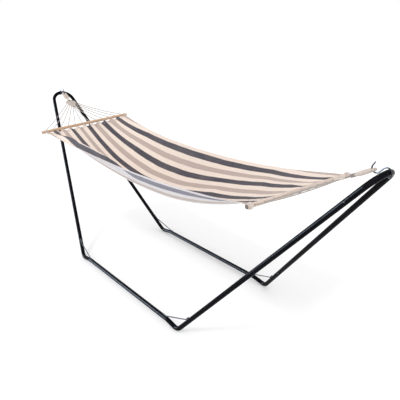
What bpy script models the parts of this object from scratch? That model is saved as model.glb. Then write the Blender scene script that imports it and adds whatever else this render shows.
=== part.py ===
"""Hammock on a tube stand: a steel stand in twelve tubes, and a striped bed hung between two spreader bars.

Frame: metres, +Z up, origin on the floor under the middle of the bed. +X runs along the bed to its
foot end, and the stand and the bed are alike on both sides of the planes X = 0 and Y = 0.
"""

import math

import bmesh
import bpy
from mathutils import Matrix, Vector

# ---- driving dimensions, in metres and degrees ----
TUBE_R = 0.0125
TUBE_WALL = 0.0012
TUBE_SIDES = 20
SPIGOT_R = 0.0109
SPIGOT_LENGTH = 0.055
SHOULDER_LENGTH = 0.0016
GAP = 0.0003

RAIL_Y = 0.3352
RAIL_Z = 0.0235
RAIL_END_X = 0.380
KINK_X = 0.440
KINK_RADIUS = 0.060
FOOT_X = 0.5336
FOOT_Z = 0.0080
FOOT_RADIUS = 0.045
LEG_DIRECTION = Vector((0.635, -0.204, 0.745)).normalized()
CORNER_LEG_X = 0.659
HANGER_LEG_X = 1.300
HANGER_RADIUS = 0.078

BRACE_R = 0.003
BRACE_RAIL_TAB = (0.408, 0.434)
BRACE_LEG_TAB = (0.098, 0.124)

BUTTON_FROM_SHOULDER = 0.028
BUTTON_R = 0.0031
BUTTON_TOP = TUBE_R + 0.0025
BUTTON_FLANGE_R = 0.0042
BUTTON_FLANGE_LOW = 0.0069
BUTTON_FLANGE_HIGH = 0.0080
BUTTON_HOLE_R = 0.0036
CLIP_WIDTH = 0.0070
CLIP_THICK = 0.0008
CLIP_LENGTH = 0.0230
CLIP_TAIL = 0.0100
CLIP_BEND_R = 0.0034
CLIP_FREE_END = -0.0030
CLIP_LOW = -0.0086
CLIP_HIGH = 0.0016

HOOK_WIRE_R = 0.003
HOOK_UPPER_R = 0.0195
HOOK_LOWER_R = 0.0176
HOOK_SPAN = 0.0435
HOOK_RISE = 11.0
HOOK_UPPER_END = -60.0
HOOK_LOWER_END = 148.0
HOOK_TIP = 0.016

BAR_X = {"head": 0.9800, "foot": 1.0165}
BAR_Z = {"head": 0.8215, "foot": 0.8420}
BAR_ROLL = {"head": 3.4, "foot": -1.5}
BAR_R = 0.010
BAR_LENGTH = 0.684
HOLES = 12
HOLE_PITCH = 0.056
HOLE_R = 0.0032
HOLE_TILT = 20.0

EYE_ROPE_R = 0.0052
EYE_NECK_HALF = 0.0059
EYE_LENGTH = 0.066
EYE_ANGLE = 216.0
EYE_SLACK = 0.0009
STRAND_R = 0.00225
STRAND_SAG = 0.010
KNOT_R = 0.0044
KNOT_STAND = 0.005
CLEW_START = EYE_LENGTH + EYE_NECK_HALF + EYE_ROPE_R + 2 * GAP
CLEW_NECK_END = CLEW_START + 0.020
CLEW_SHOULDER = CLEW_START + 0.028
CLEW_WIDEST = CLEW_START + 0.036
CLEW_END = CLEW_START + 0.094
CLEW_NECK_HALF = 0.0080
CLEW_WIDE_HALF = 0.0400
CLEW_TIP_HALF = 0.0100
CLEW_THICK = 0.009
STRAND_START = CLEW_SHOULDER + 0.003
STRAND_OUT = 0.003

BED_TO_BAR = 0.023
BED_THICK = 0.0020
BED_END_HALF = 0.3175
BED_MID_HALF = 0.2790
BED_EDGE_SAG = 0.073
BED_EDGE_POWER = 2.2
BED_END_TROUGH = 0.009
BED_MID_TROUGH = 0.192
BED_TROUGH_POWER = 2.27

ENDS = {"head": -1, "foot": 1}
SIDES = {"left": -1, "right": 1}

BLACK_PAINT = ("black_paint", (0.012, 0.013, 0.016), 0.22, 0.55)
BRACE_PAINT = ("brace_paint", (0.10, 0.10, 0.105), 0.35, 0.6)
SPRING_STEEL = ("spring_steel", (0.52, 0.53, 0.55), 0.35, 1.0)
HOOK_STEEL = ("hook_steel", (0.45, 0.45, 0.46), 0.30, 1.0)
BAR_WOOD = ("bar_wood", (0.62, 0.40, 0.22), 0.55, 0.0)
ROPE_COTTON = ("rope_cotton", (0.72, 0.66, 0.58), 0.9, 0.0)
BED_COTTON = ("bed_cotton", (0.66, 0.58, 0.49), 0.9, 0.0)


# ---- scene, materials and small helpers ----
def clear_scene():
    for old in list(bpy.data.objects):
        bpy.data.objects.remove(old, do_unlink=True)
    parts = bpy.data.collections.new("hammock_on_stand")
    cutters = bpy.data.collections.new("cutters")
    for collection in (parts, cutters):
        bpy.context.scene.collection.children.link(collection)
    return parts, cutters


def paint(obj, finish):
    name, colour, roughness, metallic = finish
    material = bpy.data.materials.get(name)
    if material is None:
        material = bpy.data.materials.new(name)
        material.use_nodes = True
        shader = material.node_tree.nodes["Principled BSDF"]
        shader.inputs["Base Color"].default_value = (*colour, 1.0)
        shader.inputs["Roughness"].default_value = roughness
        shader.inputs["Metallic"].default_value = metallic
    obj.data.materials.clear()
    obj.data.materials.append(material)


def add_object(name, data, collection):
    obj = bpy.data.objects.new(name, data)
    collection.objects.link(obj)
    return obj


def hide_helper(obj):
    obj.hide_render = True
    obj.display_type = "WIRE"
    return obj


def mesh_from(bm, name):
    mesh = bpy.data.meshes.new(name)
    bm.to_mesh(mesh)
    bm.free()
    mesh.shade_smooth()
    mesh.set_sharp_from_angle(angle=math.radians(40))
    return mesh


def along(origin, direction, distance):
    return origin + direction * distance


def mirrored(point, end, side):
    return Vector((point.x * end, point.y * side, point.z))


# ---- paths, tubes and cuts ----
def round_corners(corners, radii, steps):
    """The corner points with each inner one replaced by an arc of its radius."""
    path = [corners[0]]
    for before, corner, after, radius, count in zip(corners, corners[1:], corners[2:], radii, steps):
        arriving = (corner - before).normalized()
        leaving = (after - corner).normalized()
        turn = arriving.angle(leaving)
        start = corner - arriving * radius * math.tan(turn / 2)
        centre = corner + (leaving - arriving).normalized() * radius / math.cos(turn / 2)
        for step in range(count + 1):
            angle = turn * step / count
            path.append(centre + (start - centre) * math.cos(angle) + arriving * radius * math.sin(angle))
    path.append(corners[-1])
    return path


def solid_of_curve(name, curve):
    guide = bpy.data.objects.new(name + "_guide", curve)
    bpy.context.scene.collection.objects.link(guide)
    graph = bpy.context.evaluated_depsgraph_get()
    made = bpy.data.meshes.new_from_object(guide.evaluated_get(graph))
    bpy.data.objects.remove(guide, do_unlink=True)
    bpy.data.curves.remove(curve)
    bm = bmesh.new()
    bm.from_mesh(made)
    bpy.data.meshes.remove(made)
    bmesh.ops.remove_doubles(bm, verts=bm.verts, dist=0.00001)
    bmesh.ops.recalc_face_normals(bm, faces=bm.faces)
    return mesh_from(bm, name)


def curve_mesh(name, points, radius, sides, caps=True, factors=None, cyclic=False):
    """The mesh of a round bar along the points. factors scale its radius at each point."""
    curve = bpy.data.curves.new(name, "CURVE")
    curve.dimensions = "3D"
    curve.bevel_depth = radius
    curve.bevel_resolution = (sides - 4) // 2
    curve.use_fill_caps = caps
    spline = curve.splines.new("POLY")
    spline.points.add(len(points) - 1)
    spline.use_cyclic_u = cyclic
    for index, point in enumerate(points):
        spline.points[index].co = (*point, 1.0)
        spline.points[index].radius = factors[index] if factors else 1.0
    return solid_of_curve(name, curve)


def hollow_tube(name, points, factors, collection):
    mesh = curve_mesh(name, points, TUBE_R, TUBE_SIDES, caps=False, factors=factors)
    tube = add_object(name, mesh, collection)
    wall = tube.modifiers.new("wall", "SOLIDIFY")
    wall.thickness = TUBE_WALL
    wall.offset = -1.0
    wall.use_rim = True
    paint(tube, BLACK_PAINT)
    return tube


def cut_away(obj, cutter):
    boolean = obj.modifiers.new("cut_" + cutter.name, "BOOLEAN")
    boolean.operation = "DIFFERENCE"
    boolean.object = cutter
    boolean.solver = "EXACT"


def spigot(shoulder, direction):
    """The points and radius factors of a swaged end that starts at the shoulder, in order outwards."""
    narrow = SPIGOT_R / TUBE_R
    points = [
        shoulder,
        along(shoulder, direction, SHOULDER_LENGTH),
        along(shoulder, direction, SPIGOT_LENGTH),
    ]
    return points, [1.0, narrow, narrow]


# ---- the stand's lines, worked out for the foot end's right side ----
FOOT_CORNER = Vector((FOOT_X, RAIL_Y, FOOT_Z))


def on_leg(x):
    """The point of the leg's axis at this X."""
    return along(FOOT_CORNER, LEG_DIRECTION, (x - FOOT_X) / LEG_DIRECTION.x)


RAIL_END = Vector((RAIL_END_X, RAIL_Y, RAIL_Z))
CORNER_LEG_END = on_leg(CORNER_LEG_X)
HANGER_LEG_END = on_leg(HANGER_LEG_X)


def hanger_top():
    """The middle of the hanger's bend: the bend's circle touches both legs' axes."""
    inwards = Vector((LEG_DIRECTION.x, 0.0, LEG_DIRECTION.z)).normalized()
    slope = -LEG_DIRECTION.y / inwards.dot(LEG_DIRECTION)
    cosine = math.cos(math.atan(slope))
    centre_distance = (RAIL_Y - HANGER_RADIUS / cosine) / slope
    foot_line = Vector((FOOT_X, 0.0, FOOT_Z))
    return along(foot_line, inwards, centre_distance + HANGER_RADIUS)


HANGER_TOP = hanger_top()


# ---- spring clips and their buttons ----
def button_mesh():
    """A domed pin with a flange, turned about Z. Its origin is on the tube's axis."""
    dome = 0.0012
    profile = [
        (0.0, BUTTON_TOP),
        (BUTTON_R * 0.6, BUTTON_TOP - dome * 0.3),
        (BUTTON_R, BUTTON_TOP - dome),
        (BUTTON_R, BUTTON_FLANGE_HIGH),
        (BUTTON_FLANGE_R, BUTTON_FLANGE_HIGH),
        (BUTTON_FLANGE_R, BUTTON_FLANGE_LOW),
        (0.0, BUTTON_FLANGE_LOW),
    ]
    bm = bmesh.new()
    corners = [bm.verts.new((x, 0.0, z)) for x, z in profile]
    for first, second in zip(corners, corners[1:]):
        bm.edges.new((first, second))
    return mesh_from(bm, "snap_button")


def turn_button(obj):
    screw = obj.modifiers.new("turn", "SCREW")
    screw.angle = math.tau
    screw.steps = 12
    screw.render_steps = 12
    screw.use_merge_vertices = True
    screw.merge_threshold = 0.0001
    screw.axis = "Z"


def plate_mesh(name, outline, thickness):
    """A flat plate: the outline's (x, y) corners, made solid by half the thickness to both sides of Z = 0."""
    curve = bpy.data.curves.new(name, "CURVE")
    curve.dimensions = "2D"
    curve.fill_mode = "BOTH"
    curve.extrude = thickness / 2
    spline = curve.splines.new("POLY")
    spline.points.add(len(outline) - 1)
    spline.use_cyclic_u = True
    for index, (x, y) in enumerate(outline):
        spline.points[index].co = (x, y, 0.0, 1.0)
    return solid_of_curve(name, curve)


def clip_mesh():
    """A strip bent into a J, drawn pressed in, so that the button has room to travel."""
    bend_x = CLIP_LENGTH - CLIP_BEND_R
    outer = [(-CLIP_TAIL, CLIP_LOW)]
    inner = [(-CLIP_TAIL, CLIP_LOW + CLIP_THICK)]
    steps = 5
    for step in range(steps + 1):
        angle = math.radians(-90 + 140 * step / steps)
        for line, radius in ((outer, CLIP_BEND_R), (inner, CLIP_BEND_R - CLIP_THICK)):
            centre_z = CLIP_LOW + CLIP_BEND_R
            line.append((bend_x + radius * math.cos(angle), centre_z + radius * math.sin(angle)))
    outer.append((CLIP_FREE_END, CLIP_HIGH))
    inner.append((CLIP_FREE_END, CLIP_HIGH - CLIP_THICK))
    mesh = plate_mesh("spring_clip", outer + inner[::-1], CLIP_WIDTH)
    mesh.transform(Matrix.Rotation(math.radians(90), 4, "X"))
    return mesh


def joint_frame(shoulder, direction, outwards):
    """The frame of a clip: X runs out along the spigot, Z out through the button's hole."""
    radial = (outwards - direction * outwards.dot(direction)).normalized()
    across = radial.cross(direction)
    turned = Matrix((direction, across, radial)).transposed().to_4x4()
    return Matrix.Translation(along(shoulder, direction, BUTTON_FROM_SHOULDER)) @ turned


def add_clip(where, frame, tubes, meshes, parts, cutters):
    """One clip with its button, and the hole that the button needs in both tubes."""
    button = add_object("snap_button_" + where, meshes["button"], parts)
    button.matrix_world = frame
    turn_button(button)
    paint(button, SPRING_STEEL)
    clip = add_object("spring_clip_" + where, meshes["clip"], parts)
    clip.matrix_world = frame
    paint(clip, SPRING_STEEL)
    bm = bmesh.new()
    low, high = 0.0045, 0.0200
    bmesh.ops.create_cone(
        bm,
        cap_ends=True,
        segments=12,
        radius1=BUTTON_HOLE_R,
        radius2=BUTTON_HOLE_R,
        depth=high - low,
        matrix=Matrix.Translation((0.0, 0.0, (low + high) / 2)),
    )
    drill = hide_helper(add_object("button_drill_" + where, mesh_from(bm, "button_drill"), cutters))
    drill.matrix_world = frame
    for tube in tubes:
        cut_away(tube, drill)


# ---- the stand ----
def build_corner(end, side, parts):
    """The bent corner tube between a rail and a leg, with a spigot at each end."""
    inwards = Vector((-1.0, 0.0, 0.0))
    rail_points, rail_factors = spigot(RAIL_END, inwards)
    leg_points, leg_factors = spigot(CORNER_LEG_END, LEG_DIRECTION)
    kink = Vector((KINK_X, RAIL_Y, RAIL_Z))
    bends = round_corners([RAIL_END, kink, FOOT_CORNER, CORNER_LEG_END], (KINK_RADIUS, FOOT_RADIUS), (2, 6))
    path = rail_points[:0:-1] + bends + leg_points[1:]
    factors = rail_factors[:0:-1] + [1.0] * len(bends) + leg_factors[1:]
    name = "corner_tube_" + end + "_" + side
    path = [mirrored(point, ENDS[end], SIDES[side]) for point in path]
    return hollow_tube(name, path, factors, parts)


def build_leg(end, side, parts):
    clear = SHOULDER_LENGTH + GAP
    low = along(CORNER_LEG_END, LEG_DIRECTION, clear)
    high = along(HANGER_LEG_END, LEG_DIRECTION, -clear)
    path = [mirrored(point, ENDS[end], SIDES[side]) for point in (low, high)]
    return hollow_tube("leg_tube_" + end + "_" + side, path, None, parts)


def build_rail(side, parts):
    half = RAIL_END_X - SHOULDER_LENGTH - GAP
    path = [Vector((x, SIDES[side] * RAIL_Y, RAIL_Z)) for x in (-half, half)]
    return hollow_tube("base_rail_" + side, path, None, parts)


def build_hanger(end, parts):
    """The U-shaped top of one end, with a spigot into each leg."""
    right, factors = spigot(HANGER_LEG_END, -LEG_DIRECTION)
    corner_reach = HANGER_RADIUS * math.tan(math.radians(45) - math.asin(-LEG_DIRECTION.y) / 2)
    corner = Vector((HANGER_TOP.x, corner_reach, HANGER_TOP.z))
    half = round_corners([HANGER_LEG_END, corner, HANGER_TOP], (HANGER_RADIUS,), (6,))
    half.pop()
    right_side = right[:0:-1] + half
    right_factors = factors[:0:-1] + [1.0] * len(half)
    left_side = [Vector((p.x, -p.y, p.z)) for p in right_side[-2::-1]]
    path = right_side + left_side
    all_factors = right_factors + right_factors[-2::-1]
    path = [mirrored(point, ENDS[end], 1) for point in path]
    return hollow_tube("hanger_tube_" + end, path, all_factors, parts)


def build_brace(end, side, parts):
    """A thin rod across the inside of a foot bend, its bent ends welded along both tubes."""
    lift = TUBE_R + BRACE_R + GAP
    rail_line = [Vector((x, RAIL_Y, RAIL_Z + lift)) for x in BRACE_RAIL_TAB]
    upwards = Vector((0.0, 0.0, 1.0))
    over_leg = (upwards - LEG_DIRECTION * upwards.dot(LEG_DIRECTION)).normalized()
    leg_line = [
        along(FOOT_CORNER, LEG_DIRECTION, distance) + over_leg * lift for distance in BRACE_LEG_TAB
    ]
    bend_r = 0.010
    path = round_corners(rail_line + leg_line, (bend_r, bend_r), (3, 3))
    path = [mirrored(point, ENDS[end], SIDES[side]) for point in path]
    name = "corner_brace_" + end + "_" + side
    brace = add_object(name, curve_mesh(name, path, BRACE_R, 8), parts)
    paint(brace, BRACE_PAINT)


def build_stand(parts, cutters):
    meshes = {"button": button_mesh(), "clip": clip_mesh()}
    floor_mesh = bmesh.new()
    depth = 0.05
    bmesh.ops.create_cube(
        floor_mesh,
        size=1.0,
        matrix=Matrix.Translation((0.0, 0.0, -depth / 2)) @ Matrix.Diagonal((3.0, 1.5, depth, 1.0)),
    )
    floor = hide_helper(add_object("floor_plane", mesh_from(floor_mesh, "floor_plane"), cutters))
    rails = {side: build_rail(side, parts) for side in SIDES}
    for end in ENDS:
        hanger = build_hanger(end, parts)
        for side in SIDES:
            corner = build_corner(end, side, parts)
            cut_away(corner, floor)
            leg = build_leg(end, side, parts)
            build_brace(end, side, parts)
            signs = Vector((ENDS[end], SIDES[side], 1.0))
            up_leg = LEG_DIRECTION * signs
            inboard = Vector((0.0, -SIDES[side], 0.0))
            joints = {
                "rail": (RAIL_END * signs, Vector((-signs.x, 0.0, 0.0)), inboard, (corner, rails[side])),
                "leg": (CORNER_LEG_END * signs, up_leg, inboard, (corner, leg)),
                "hanger": (HANGER_LEG_END * signs, -up_leg, -inboard, (hanger, leg)),
            }
            for joint, (shoulder, direction, outwards, tubes) in joints.items():
                where = joint + "_" + end + "_" + side
                frame = joint_frame(shoulder, direction, outwards)
                add_clip(where, frame, tubes, meshes, parts, cutters)


# ---- hooks, bars, ropes and bed, worked out as if each end pointed along +X ----
ACROSS = Vector((0.0, 1.0, 0.0))


def on_circle(centre, radius, degrees):
    angle = math.radians(degrees)
    return centre + Vector((math.cos(angle), 0.0, math.sin(angle))) * radius


def pull(end):
    """The direction that the ropes of this end pull their hook in."""
    return (Vector((BAR_X[end], 0.0, BAR_Z[end])) - EYE_SEAT).normalized()


HOOK_SLACK = HOOK_UPPER_R - HOOK_WIRE_R - TUBE_R - 2 * GAP
HOOK_UPPER_CENTRE = on_circle(HANGER_TOP, HOOK_SLACK, 180.0 + HOOK_RISE)
HOOK_LOWER_CENTRE = on_circle(HOOK_UPPER_CENTRE, HOOK_SPAN, 180.0 - HOOK_RISE)
EYE_SEAT = on_circle(HOOK_LOWER_CENTRE, HOOK_LOWER_R, EYE_ANGLE)


def hook_path():
    """An S in the plane Y = 0: over the hanger's bend, down and under the rope eye, ending in a tip."""
    leave = 90.0 - HOOK_RISE + math.degrees(math.asin((HOOK_UPPER_R + HOOK_LOWER_R) / HOOK_SPAN))
    arrive = leave + 180.0
    steps = 12
    path = []
    for centre, radius, start, finish in (
        (HOOK_UPPER_CENTRE, HOOK_UPPER_R, HOOK_UPPER_END, leave),
        (HOOK_LOWER_CENTRE, HOOK_LOWER_R, arrive, HOOK_LOWER_END),
    ):
        for step in range(steps + 1):
            path.append(on_circle(centre, radius, start + (finish - start) * step / steps))
    path.append(on_circle(path[-1], HOOK_TIP, HOOK_LOWER_END - 90.0))
    return path


def build_hook(end, parts):
    path = [mirrored(point, ENDS[end], 1) for point in hook_path()]
    name = "s_hook_" + end
    hook = add_object(name, curve_mesh(name, path, HOOK_WIRE_R, 8), parts)
    paint(hook, HOOK_STEEL)


def hole_positions():
    return [(index - (HOLES - 1) / 2) * HOLE_PITCH for index in range(HOLES)]


def bar_frame(end):
    """The frame of a bar as if its end pointed along +X: Y runs along the bar, a little out of level."""
    roll = Matrix.Rotation(math.radians(BAR_ROLL[end]), 4, "X")
    return Matrix.Translation((BAR_X[end], 0.0, BAR_Z[end])) @ roll


def build_bar(end, parts, cutters):
    """A round dowel with a row of holes across it, one for each strand."""
    name = "spreader_bar_" + end
    bm = bmesh.new()
    turned = Matrix.Rotation(math.radians(90), 4, "X")
    bmesh.ops.create_cone(
        bm, cap_ends=True, segments=20, radius1=BAR_R, radius2=BAR_R, depth=BAR_LENGTH, matrix=turned
    )
    bar = add_object(name, mesh_from(bm, name), parts)
    bar.location = (ENDS[end] * BAR_X[end], 0.0, BAR_Z[end])
    bar.rotation_euler = (math.radians(BAR_ROLL[end]), 0.0, 0.0)
    paint(bar, BAR_WOOD)
    drills = bmesh.new()
    tilt = Matrix.Rotation(math.radians(90.0 - HOLE_TILT) * ENDS[end], 4, "Y")
    for y in hole_positions():
        bmesh.ops.create_cone(
            drills,
            cap_ends=True,
            segments=10,
            radius1=HOLE_R,
            radius2=HOLE_R,
            depth=BAR_R * 4,
            matrix=Matrix.Translation((0.0, y, 0.0)) @ tilt,
        )
    drill = hide_helper(add_object("rope_drill_" + end, mesh_from(drills, "rope_drill_" + end), cutters))
    drill.location = bar.location
    drill.rotation_euler = bar.rotation_euler
    cut_away(bar, drill)


def build_eye(end, parts):
    """The bound loop of rope that sits in the hook: a closed ring, round at the hook and tight at its neck."""
    loop_r = HOOK_WIRE_R + EYE_ROPE_R + EYE_SLACK
    steps = 7
    path = []
    for distance, radius, start in ((0.0, loop_r, 90.0), (EYE_LENGTH, EYE_NECK_HALF, -90.0)):
        centre = along(EYE_SEAT, pull(end), distance)
        for step in range(steps + 1):
            angle = math.radians(start + 180.0 * step / steps)
            path.append(centre + pull(end) * radius * math.cos(angle) + ACROSS * radius * math.sin(angle))
    path = [mirrored(point, ENDS[end], 1) for point in path]
    name = "rope_eye_" + end
    eye = add_object(name, curve_mesh(name, path, EYE_ROPE_R, 8, caps=False, cyclic=True), parts)
    paint(eye, ROPE_COTTON)


def strand_path(end, y):
    """One strand from inside the clew to its knot on the bed's side of the bar. The outermost strands leave the
    clew first and the middle ones at its tip."""
    share = y / hole_positions()[-1]
    off_middle = abs(share) * (CLEW_WIDE_HALF - 2 * STRAND_R)
    start = along(EYE_SEAT, pull(end), STRAND_START) + ACROSS * math.copysign(off_middle, share)
    up_slant = max(0.0, off_middle - CLEW_TIP_HALF) / (CLEW_WIDE_HALF - CLEW_TIP_HALF)
    leave_at = CLEW_END + (CLEW_WIDEST - CLEW_END) * up_slant + STRAND_OUT
    tilt = math.radians(HOLE_TILT)
    hole_axis = Vector((math.cos(tilt), 0.0, math.sin(tilt)))
    frame = bar_frame(end)
    mouth = frame @ (Vector((0.0, y, 0.0)) + hole_axis * (BAR_R + KNOT_STAND))
    knot = frame @ (Vector((0.0, y, 0.0)) - hole_axis * (BAR_R + KNOT_STAND))
    leaving = along(start, pull(end), leave_at - STRAND_START)
    points = [start, leaving]
    steps = 4
    for step in range(1, steps):
        part = step / steps
        sag = STRAND_SAG * 4 * part * (1 - part)
        points.append(leaving.lerp(mouth, part) - Vector((0.0, 0.0, sag)))
    return points + [mouth, knot]


def build_ropes(end, parts, cutters):
    """The woven clew, wide at its shoulders and narrow at both ends, with its strands and their knots."""
    name = "suspension_ropes_" + end
    right_side = [
        (CLEW_START, CLEW_NECK_HALF),
        (CLEW_NECK_END, CLEW_NECK_HALF),
        (CLEW_SHOULDER, CLEW_WIDE_HALF),
        (CLEW_WIDEST, CLEW_WIDE_HALF),
        (CLEW_END, CLEW_TIP_HALF),
    ]
    outline = right_side + [(x, -y) for x, y in right_side[::-1]]
    plate = plate_mesh(name, outline, CLEW_THICK)
    direction = pull(end)
    over = direction.cross(ACROSS)
    turned = Matrix((direction, ACROSS, over)).transposed().to_4x4()
    mirror = Matrix.Diagonal((ENDS[end], 1.0, 1.0, 1.0))
    plate.transform(mirror @ Matrix.Translation(EYE_SEAT) @ turned)
    if ENDS[end] < 0:
        plate.flip_normals()
    ropes = add_object(name, plate, parts)
    paint(ropes, ROPE_COTTON)
    pieces = bpy.data.collections.new("strands_" + end)
    cutters.children.link(pieces)
    for index, y in enumerate(hole_positions()):
        path = [mirrored(point, ENDS[end], 1) for point in strand_path(end, y)]
        number = end + "_" + str(index + 1)
        strand = curve_mesh("strand_" + number, path, STRAND_R, 6)
        hide_helper(add_object("strand_" + number, strand, pieces))
        knot = bmesh.new()
        bmesh.ops.create_icosphere(
            knot, subdivisions=1, radius=KNOT_R, matrix=Matrix.Translation(path[-1])
        )
        hide_helper(add_object("knot_" + number, mesh_from(knot, "knot_" + number), pieces))
    pieces.hide_render = True
    joined = ropes.modifiers.new("join", "BOOLEAN")
    joined.operation = "UNION"
    joined.operand_type = "COLLECTION"
    joined.collection = pieces
    joined.solver = "EXACT"


def bed_point(along_bed, across_bed):
    """A point of the bed's cloth, from (-1, -1) to (1, 1). Its edges sag between the bars, and it hangs in a
    trough between its edges."""
    reach = {end: sign * (BAR_X[end] - BED_TO_BAR) for end, sign in ENDS.items()}
    share = (along_bed + 1) / 2
    bow = 1 - abs(along_bed) ** 2
    half_width = BED_END_HALF + (BED_MID_HALF - BED_END_HALF) * bow
    trough = BED_END_TROUGH + (BED_MID_TROUGH - BED_END_TROUGH) * bow
    y = across_bed * half_width
    slopes = {end: math.tan(math.radians(roll)) for end, roll in BAR_ROLL.items()}
    ends_line = {end: BAR_Z[end] + y * slopes[end] for end in ENDS}
    line = ends_line["head"] * (1 - share) + ends_line["foot"] * share
    edge = line - BED_EDGE_SAG * (1 - abs(along_bed) ** BED_EDGE_POWER)
    z = edge - trough * (1 - abs(across_bed) ** BED_TROUGH_POWER)
    return Vector((reach["head"] * (1 - share) + reach["foot"] * share, y, z))


def build_bed(parts):
    bm = bmesh.new()
    bmesh.ops.create_grid(bm, x_segments=18, y_segments=12, size=1.0)
    for vertex in bm.verts:
        vertex.co = bed_point(vertex.co.x, vertex.co.y)
    bed = add_object("bed_fabric", mesh_from(bm, "bed_fabric"), parts)
    cloth = bed.modifiers.new("cloth", "SOLIDIFY")
    cloth.thickness = BED_THICK
    cloth.offset = 0.0
    paint(bed, BED_COTTON)


def main():
    parts, cutters = clear_scene()
    build_stand(parts, cutters)
    for end in ENDS:
        build_hook(end, parts)
        build_bar(end, parts, cutters)
        build_eye(end, parts)
        build_ropes(end, parts, cutters)
    build_bed(parts)


main()
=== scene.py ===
"""The looks of the hammock on its stand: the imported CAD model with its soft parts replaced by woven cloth,
twisted rope and whipped eyes, and every carried-over piece given its own finish.

The frame is the CAD model's: metres, +Z up, +X towards the foot end. "left" is the -Y side.
"""

import math

import bmesh
import bpy
import numpy as np
from mathutils import Matrix, Vector


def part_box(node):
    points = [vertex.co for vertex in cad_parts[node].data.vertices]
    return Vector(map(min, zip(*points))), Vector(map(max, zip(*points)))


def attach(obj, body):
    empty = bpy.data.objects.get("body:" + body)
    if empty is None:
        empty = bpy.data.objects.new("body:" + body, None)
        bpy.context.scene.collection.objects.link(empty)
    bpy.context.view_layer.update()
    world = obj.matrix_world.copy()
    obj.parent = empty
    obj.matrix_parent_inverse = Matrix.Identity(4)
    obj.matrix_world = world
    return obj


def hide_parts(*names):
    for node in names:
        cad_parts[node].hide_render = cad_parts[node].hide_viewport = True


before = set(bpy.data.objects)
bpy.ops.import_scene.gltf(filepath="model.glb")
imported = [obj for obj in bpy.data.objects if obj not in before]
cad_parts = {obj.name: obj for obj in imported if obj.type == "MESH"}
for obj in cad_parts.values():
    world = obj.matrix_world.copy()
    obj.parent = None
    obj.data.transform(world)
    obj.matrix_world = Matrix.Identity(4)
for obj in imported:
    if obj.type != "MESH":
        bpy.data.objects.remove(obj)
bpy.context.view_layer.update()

# ---- sizes that repeat those of the CAD model, in metres and degrees ----
ENDS = {"head": -1, "foot": 1}
BAR_ROLL = {"head": 3.4, "foot": -1.5}
HOLES = 12
HOLE_PITCH = 0.056
HOLE_TILT = 20.0
BED_END_HALF = 0.3175
BED_MID_HALF = 0.2790
BED_EDGE_SAG = 0.073
BED_EDGE_POWER = 2.2
BED_END_TROUGH = 0.009
BED_MID_TROUGH = 0.192
BED_TROUGH_POWER = 2.27
STRAND_R = 0.00225
TUBE_R = 0.0125
HOOK_SLACK = 0.0034
HOOK_SPAN = 0.0435
HOOK_RISE = 11.0
HOOK_LOWER_R = 0.0176
EYE_ANGLE = 216.0
CLEW_START = 0.0777
CLEW_WIDEST = CLEW_START + 0.036
CLEW_END = CLEW_START + 0.094
CLEW_WIDE_HALF = 0.040
CLEW_TIP_HALF = 0.010
ACROSS = Vector((0.0, 1.0, 0.0))
UP = Vector((0.0, 0.0, 1.0))

# How far round a point the flats of the CAD's tubes and dowels are blended in shading.
TUBE_ROUNDING = 0.0024
DOWEL_ROUNDING = 0.002


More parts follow.
